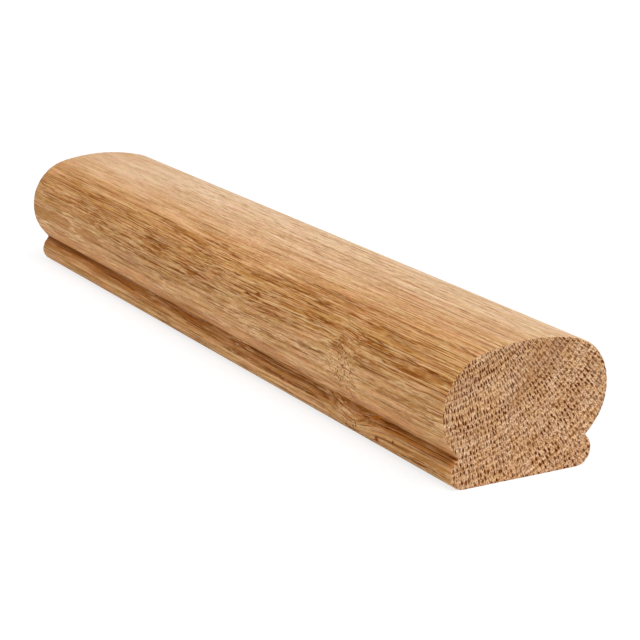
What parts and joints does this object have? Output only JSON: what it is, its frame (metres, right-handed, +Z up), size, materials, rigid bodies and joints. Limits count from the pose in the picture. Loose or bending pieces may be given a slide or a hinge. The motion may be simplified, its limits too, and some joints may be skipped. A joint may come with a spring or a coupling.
{
  "type": "wooden handrail",
  "caption": "Straight length of moulded oak handrail: a broad round grip over a narrower beaded base, with a V groove for the fingers along each side and square-sawn ends.",
  "frame": {"origin": "middle of the flat underside, halfway along the rail", "axes": "+X along the rail, +Y across it, +Z up, out of the middle of the crown"},
  "size_m": [0.305, 0.0666, 0.047],
  "materials": {
    "oak": "bare, planed smooth along its length and sawn at its ends"
  },
  "bodies": {
    "root": {"handrail": "oak"}
  },
  "joints": []
}
